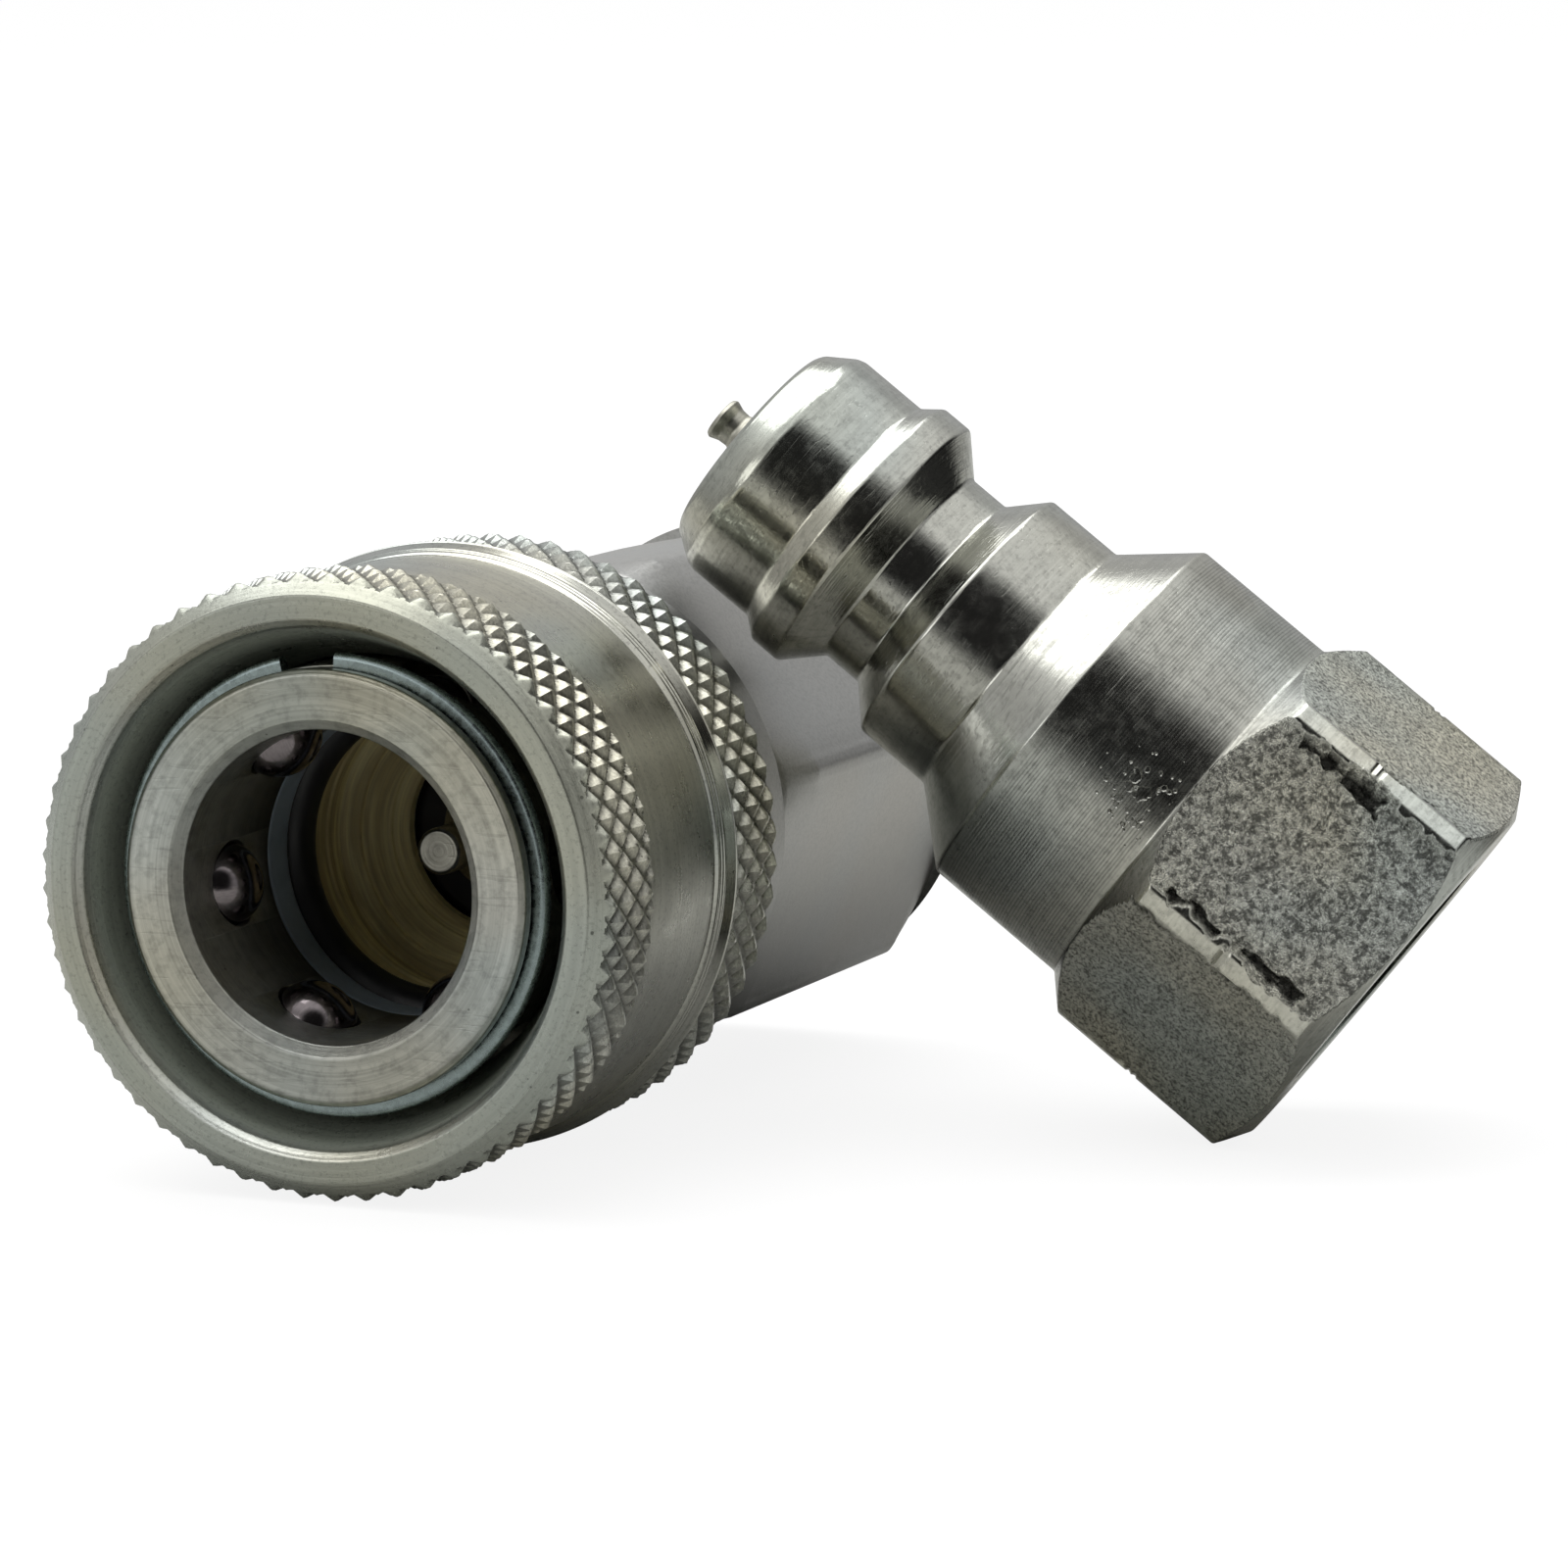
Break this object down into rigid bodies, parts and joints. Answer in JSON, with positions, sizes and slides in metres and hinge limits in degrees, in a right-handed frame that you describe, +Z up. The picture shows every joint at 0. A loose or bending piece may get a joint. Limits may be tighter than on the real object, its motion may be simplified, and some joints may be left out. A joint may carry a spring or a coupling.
{
  "type": "hydraulic quick disconnect coupler",
  "caption": "Poppet hydraulic quick coupler, uncoupled: socket with knurled locking sleeve, balls and sprung valve, and a leaning nipple with hexagon and female port.",
  "frame": {"origin": "on the floor under the middle of the whole box", "axes": "+Y along the socket's axis from its mouth to its port, +Z up, nipple on the +X side"},
  "size_m": [0.06, 0.051, 0.0365],
  "materials": {
    "zinc_steel": "zinc-plated turned steel, satin to bright, rough forged hexagon flats",
    "turned_steel": "turned steel, slightly golden",
    "spring_steel": "drawn spring wire",
    "ball_steel": "polished bearing steel",
    "black_rubber": "matt nitrile rubber",
    "white_ptfe": "off-white PTFE"
  },
  "bodies": {
    "socket": {"socket_barrel": "zinc_steel", "socket_adapter": "zinc_steel", "snap_ring": "spring_steel", "socket_o_ring": "black_rubber", "socket_backup_ring": "white_ptfe", "joint_o_ring": "black_rubber", "socket_valve_guide": "turned_steel", "socket_valve_spring": "spring_steel"},
    "sleeve_turn": {"sleeve_spring": "spring_steel"},
    "sleeve": {"locking_sleeve": "zinc_steel"},
    "ball_1": {"ball_1": "ball_steel"},
    "ball_2": {"ball_2": "ball_steel"},
    "ball_3": {"ball_3": "ball_steel"},
    "ball_4": {"ball_4": "ball_steel"},
    "ball_5": {"ball_5": "ball_steel"},
    "ball_6": {"ball_6": "ball_steel"},
    "socket_valve": {"socket_poppet": "turned_steel", "socket_poppet_seal": "black_rubber"},
    "nipple": {"nipple_body": "zinc_steel", "nipple_valve_guide": "turned_steel", "nipple_guide_clip": "spring_steel", "nipple_valve_spring": "spring_steel"},
    "nipple_valve": {"nipple_poppet": "turned_steel", "nipple_poppet_seal": "black_rubber"}
  },
  "joints": [
    {"name": "sleeve_spin", "type": "hinge", "parent": "socket", "child": "sleeve_turn", "pos_m": [-0.01571, 0, 0.0143], "axis": [0, 1, 0], "continuous": true},
    {"name": "sleeve_slide", "type": "slide", "parent": "sleeve_turn", "child": "sleeve", "axis": [0, 1, 0], "range_m": [0, 0.0048], "stiffness_N_per_m": 1200, "springref_m": -0.005, "deforming": ["sleeve_spring"]},
    {"name": "ball_1_slide", "type": "slide", "parent": "socket", "child": "ball_1", "axis": [0.9925, 0, 0.1219], "range_m": [0, 0.00165]},
    {"name": "ball_2_slide", "type": "slide", "parent": "socket", "child": "ball_2", "axis": [0.6018, 0, -0.7986], "range_m": [0, 0.00165]},
    {"name": "ball_3_slide", "type": "slide", "parent": "socket", "child": "ball_3", "axis": [-0.3907, 0, -0.9205], "range_m": [0, 0.00165]},
    {"name": "ball_4_slide", "type": "slide", "parent": "socket", "child": "ball_4", "axis": [-0.9925, 0, -0.1219], "range_m": [0, 0.00165]},
    {"name": "ball_5_slide", "type": "slide", "parent": "socket", "child": "ball_5", "axis": [-0.6018, 0, 0.7986], "range_m": [0, 0.00165]},
    {"name": "ball_6_slide", "type": "slide", "parent": "socket", "child": "ball_6", "axis": [0.3907, 0, 0.9205], "range_m": [0, 0.00165]},
    {"name": "socket_valve_slide", "type": "slide", "parent": "socket", "child": "socket_valve", "axis": [0, 1, 0], "range_m": [0, 0.0035], "stiffness_N_per_m": 900, "springref_m": -0.005, "deforming": ["socket_valve_spring"]},
    {"name": "nipple_lift", "type": "slide", "parent": "socket", "child": "nipple", "axis": [0, 0, 1], "range_m": [0, 0.04]},
    {"name": "nipple_valve_slide", "type": "slide", "parent": "nipple", "child": "nipple_valve", "axis": [0.7741, 0.1085, -0.6237], "range_m": [0, 0.003], "stiffness_N_per_m": 800, "springref_m": -0.005, "deforming": ["nipple_valve_spring"]}
  ],
  "couplings": [
    {"joint": "ball_1_slide", "follows": "sleeve_slide", "ratio": 0.34375},
    {"joint": "ball_2_slide", "follows": "sleeve_slide", "ratio": 0.34375},
    {"joint": "ball_3_slide", "follows": "sleeve_slide", "ratio": 0.34375},
    {"joint": "ball_4_slide", "follows": "sleeve_slide", "ratio": 0.34375},
    {"joint": "ball_5_slide", "follows": "sleeve_slide", "ratio": 0.34375},
    {"joint": "ball_6_slide", "follows": "sleeve_slide", "ratio": 0.34375}
  ]
}
